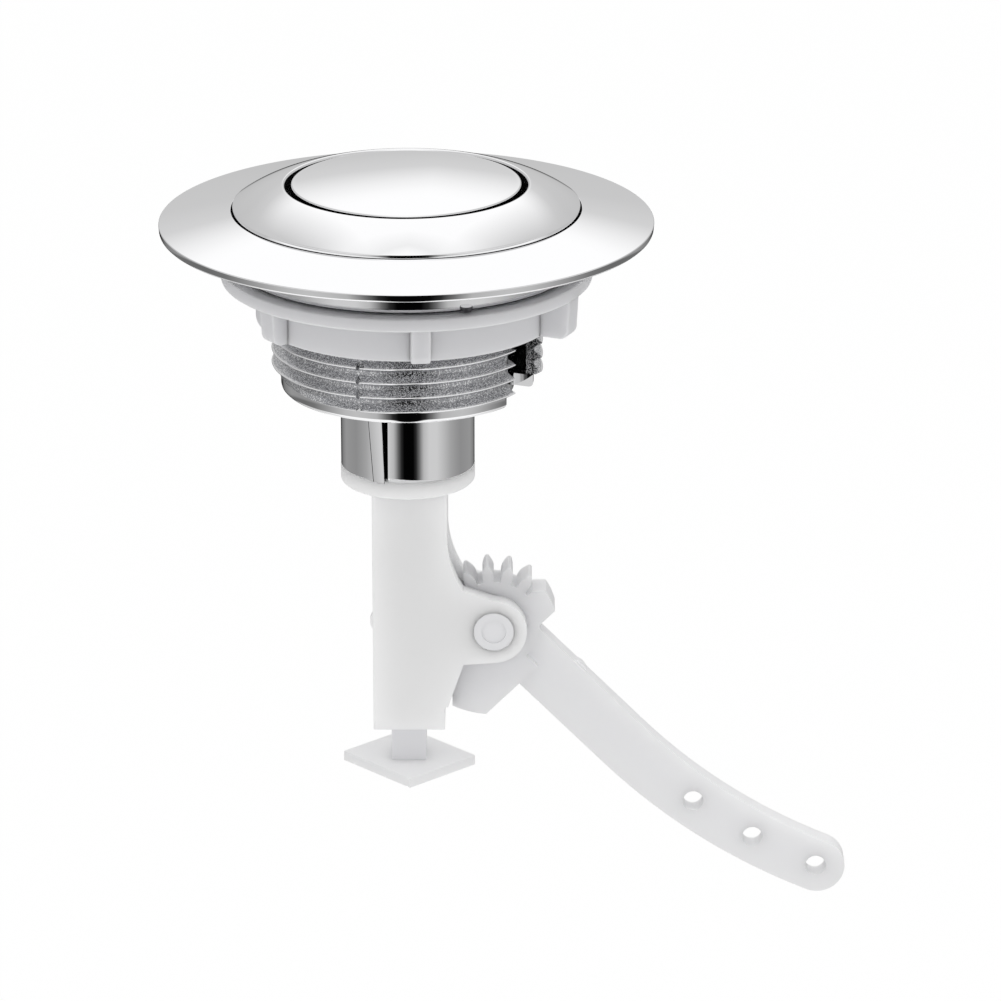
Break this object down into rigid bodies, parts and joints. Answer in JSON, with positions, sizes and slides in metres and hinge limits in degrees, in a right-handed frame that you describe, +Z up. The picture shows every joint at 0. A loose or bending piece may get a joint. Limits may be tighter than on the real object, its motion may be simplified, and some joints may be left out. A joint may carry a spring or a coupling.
{
  "type": "push button cistern actuator",
  "caption": "Round chromed push button for a cistern lid, with a locknut on its threaded barrel, a push rod with an oblong foot, and a geared lever that swings up as the button goes down.",
  "frame": {"origin": "on the barrel axis, in the plane where the rim's foot lies on the cistern lid", "axes": "+Z up along the barrel axis, out of the lid; +X towards the lever; +Y completes the right-handed frame, along the pivot pin towards its retainer"},
  "size_m": [0.106, 0.075, 0.1169],
  "materials": {
    "chromed_abs": "bright chrome plating on moulded ABS, grainy on the thread",
    "white_acetal": "moulded white acetal, satin",
    "natural_polypropylene": "moulded natural polypropylene, slightly translucent satin",
    "nut_polypropylene": "moulded white polypropylene, satin",
    "stainless_steel": "drawn stainless steel"
  },
  "bodies": {
    "mount": {"flange_plate": "chromed_abs", "bezel_ring": "chromed_abs", "threaded_barrel": "chromed_abs", "split_sleeve": "chromed_abs", "spring_seat": "white_acetal", "return_spring": "stainless_steel", "neck_collar": "white_acetal", "housing_front_shell": "white_acetal", "housing_rear_shell": "white_acetal", "pivot_pin": "white_acetal", "pin_retainer": "stainless_steel"},
    "button": {"button_cap": "chromed_abs", "button_carrier": "white_acetal", "carrier_screw": "stainless_steel", "plunger_stem": "white_acetal", "stem_pin": "stainless_steel", "rack_bar": "natural_polypropylene", "foot_plate": "natural_polypropylene"},
    "lever": {"lever_arm": "natural_polypropylene"},
    "nut": {"locknut": "nut_polypropylene"}
  },
  "joints": [
    {"name": "button_press", "type": "slide", "parent": "mount", "child": "button", "axis": [0, 0, -1], "range_m": [0, 0.0075], "stiffness_N_per_m": 450, "springref_m": -0.005, "deforming": ["return_spring"]},
    {"name": "lever_swing", "type": "hinge", "parent": "mount", "child": "lever", "pos_m": [0.0132, 0, -0.06235], "axis": [0, -1, 0], "range_deg": [0, 50.6]},
    {"name": "nut_turn", "type": "hinge", "parent": "mount", "child": "nut", "pos_m": [0, 0, 0], "axis": [0, 0, -1], "range_deg": [0, 1440]}
  ],
  "couplings": [
    {"joint": "lever_swing", "follows": "button_press", "rad_per_m": 117.65}
  ]
}
